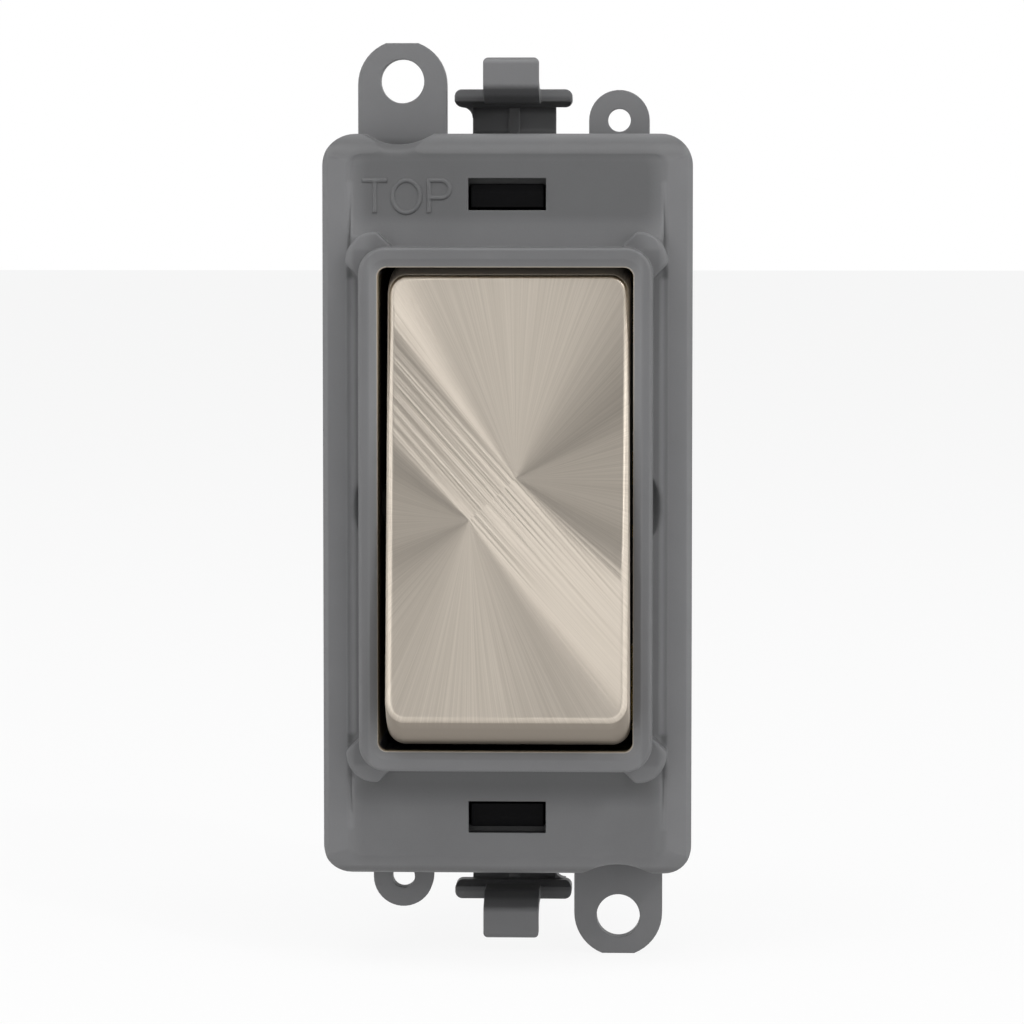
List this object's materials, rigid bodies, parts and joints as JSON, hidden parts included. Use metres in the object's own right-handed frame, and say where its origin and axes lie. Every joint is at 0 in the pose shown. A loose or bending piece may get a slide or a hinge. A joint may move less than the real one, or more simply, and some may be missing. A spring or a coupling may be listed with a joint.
{
  "type": "grid switch module",
  "caption": "Rocker switch module with a moulded front housing, satin metal rocker, fixing lugs and snap latches, and pillar terminals in a rear case.",
  "frame": {"origin": "centre of the two big lug holes, on the plane of the rear faces of the fixing lugs", "axes": "-Y out of the front of the rocker, +Z along the module towards its upper end, +X to the right seen from the front"},
  "size_m": [0.0274, 0.0327, 0.0692],
  "materials": {
    "grey_housing": "fine moulded satin",
    "black_case": "fine moulded satin",
    "satin_nickel": "radially brushed satin nickel plate",
    "black_carrier": "moulded satin",
    "white_plunger": "moulded satin",
    "spring_steel": "drawn wire",
    "contact_copper": "blanked strip",
    "contact_silver": "cold headed silver",
    "terminal_brass": "turned and milled",
    "screw_steel": "zinc plated"
  },
  "bodies": {
    "root": {"front_housing": "grey_housing", "rear_case": "black_case", "common_cradle": "contact_copper", "common_terminal": "terminal_brass", "upper_terminal": "terminal_brass", "lower_terminal": "terminal_brass", "upper_contact_strip": "contact_copper", "lower_contact_strip": "contact_copper", "upper_fixed_tip": "contact_silver", "lower_fixed_tip": "contact_silver"},
    "rocker": {"rocker_cap": "satin_nickel", "rocker_carrier": "black_carrier", "toggle_spring": "spring_steel"},
    "plunger": {"toggle_plunger": "white_plunger"},
    "contact_rocker": {"moving_contact": "contact_copper", "moving_tip_upper": "contact_silver", "moving_tip_lower": "contact_silver"},
    "screw_upper": {"terminal_screw_upper": "screw_steel"},
    "screw_common": {"terminal_screw_common": "screw_steel"},
    "screw_lower": {"terminal_screw_lower": "screw_steel"}
  },
  "joints": [
    {"name": "rocker_pivot", "type": "hinge", "parent": "root", "child": "rocker", "pos_m": [0.00021, -0.00575, 0], "axis": [1, 0, 0], "range_deg": [0, 14.8]},
    {"name": "contact_rock", "type": "hinge", "parent": "root", "child": "contact_rocker", "pos_m": [0, 0.0055, 0], "axis": [1, 0, 0], "range_deg": [-18, 0]},
    {"name": "plunger_slide", "type": "slide", "parent": "rocker", "child": "plunger", "axis": [0, -0.9917, 0.1288], "range_m": [0, 0.0008], "stiffness_N_per_m": 3000, "springref_m": -0.0005, "deforming": ["toggle_spring"]},
    {"name": "upper_screw_travel", "type": "slide", "parent": "root", "child": "screw_upper", "axis": [0, -1, 0], "range_m": [0, 0.0032]},
    {"name": "common_screw_travel", "type": "slide", "parent": "root", "child": "screw_common", "axis": [0, -1, 0], "range_m": [0, 0.0032]},
    {"name": "lower_screw_travel", "type": "slide", "parent": "root", "child": "screw_lower", "axis": [0, -1, 0], "range_m": [0, 0.0032]}
  ],
  "couplings": [
    {"joint": "contact_rock", "follows": "rocker_pivot", "ratio": -1.2162}
  ]
}
